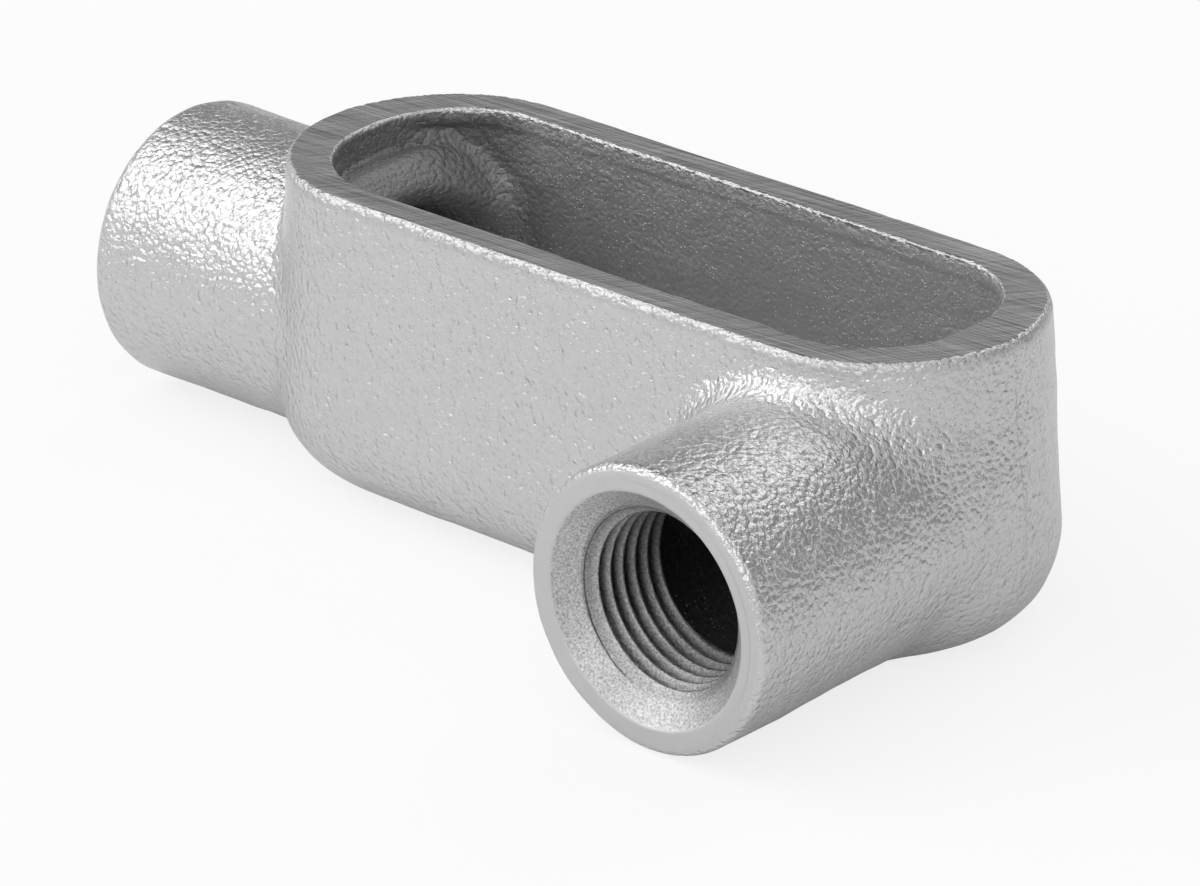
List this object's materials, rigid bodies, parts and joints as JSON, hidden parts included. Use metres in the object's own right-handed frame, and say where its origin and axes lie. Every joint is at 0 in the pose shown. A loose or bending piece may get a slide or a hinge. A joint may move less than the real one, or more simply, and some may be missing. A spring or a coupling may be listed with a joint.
{
  "type": "conduit body",
  "caption": "Cast elbow box for rigid conduit: a rounded trough open along its top, with a tapped round hub on its end and another on its side.",
  "frame": {"origin": "middle of the flat underside, below the centre of the rim", "axes": "+Z out of the access opening, -X out of the end hub, -Y out of the side hub"},
  "size_m": [0.1196, 0.0594, 0.036],
  "materials": {
    "casting": "silver lacquer over rough casting, ground rim"
  },
  "bodies": {
    "root": {"conduit_body": "casting"}
  },
  "joints": []
}
